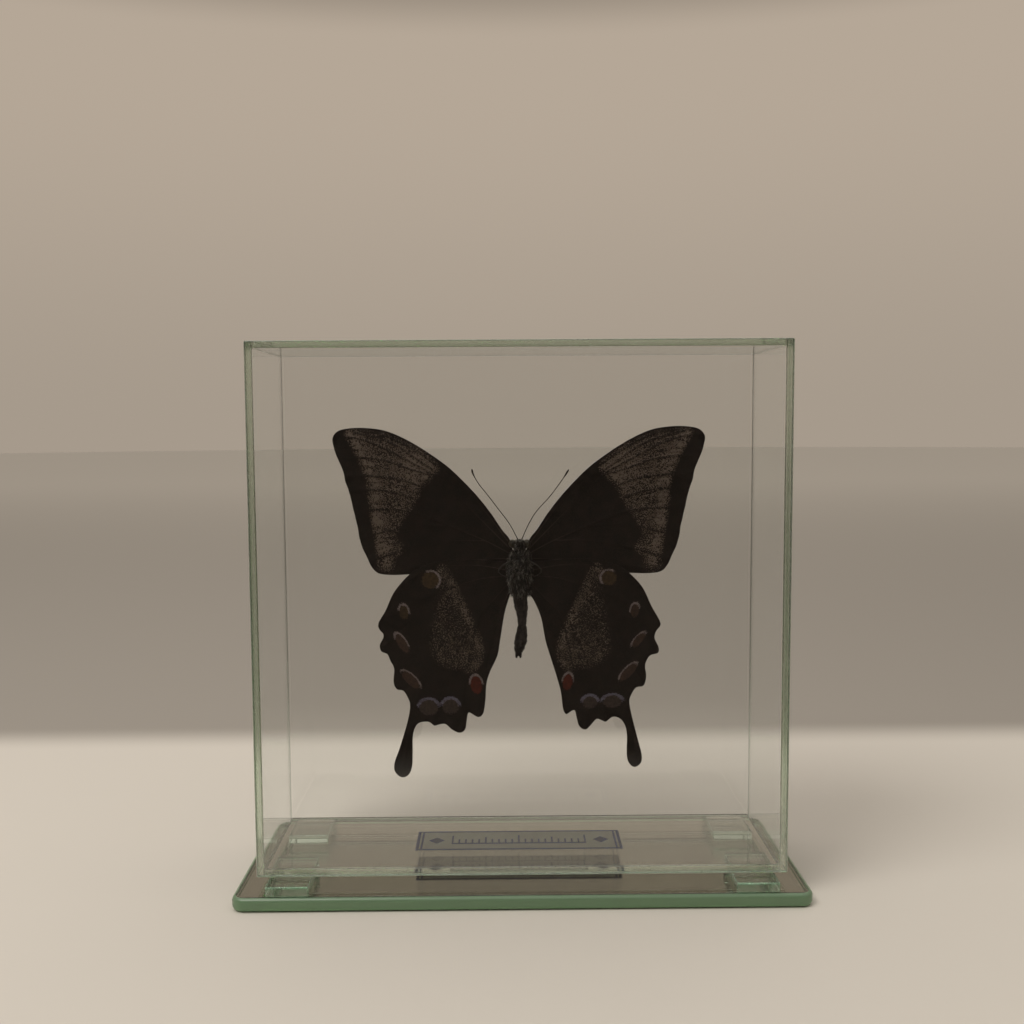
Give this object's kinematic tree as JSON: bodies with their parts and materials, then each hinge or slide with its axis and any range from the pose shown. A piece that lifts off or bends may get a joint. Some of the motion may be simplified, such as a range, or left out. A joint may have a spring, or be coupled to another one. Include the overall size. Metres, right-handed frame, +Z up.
{
  "type": "framed butterfly specimen",
  "caption": "Spread swallowtail butterfly, underside forward, fixed upright in a clear glued glass case on glass blocks and a silvered base plate.",
  "frame": {"origin": "centre of the base plate's underside", "axes": "+Z up, +X to the right along the case's width as seen from the front, -Y the front, which the butterfly's underside faces"},
  "size_m": [0.1616, 0.0608, 0.1567],
  "materials": {
    "pane_glass": "clear polished float glass, faint green edge",
    "block_glass": "clear polished glass block",
    "silvered_glass": "polished green glass silvered on its underside",
    "label_film": "thin clear film printed with a blue border",
    "clear_rod": "clear polished acrylic rod",
    "forewing_scales": "matt black-brown scales with a pale dusting",
    "hindwing_scales": "matt black-brown scales with lilac and rust spots",
    "body_hair": "grey-brown hair on dark cuticle",
    "dark_horn": "satin dark brown cuticle"
  },
  "bodies": {
    "root": {"base_plate": "silvered_glass", "block_front_left": "block_glass", "block_front_right": "block_glass", "block_back_left": "block_glass", "block_back_right": "block_glass", "pane_front": "pane_glass", "pane_back": "pane_glass", "pane_left": "pane_glass", "pane_right": "pane_glass", "pane_top": "pane_glass", "pane_bottom": "pane_glass", "label": "label_film", "mounting_post": "clear_rod", "butterfly_body": "body_hair", "forewing_left": "forewing_scales", "forewing_right": "forewing_scales", "hindwing_left": "hindwing_scales", "hindwing_right": "hindwing_scales", "antenna_left": "dark_horn", "antenna_right": "dark_horn", "leg_front_left": "dark_horn", "leg_front_right": "dark_horn", "leg_middle_left": "dark_horn", "leg_middle_right": "dark_horn", "leg_hind_left": "dark_horn", "leg_hind_right": "dark_horn", "proboscis": "dark_horn"}
  },
  "joints": []
}
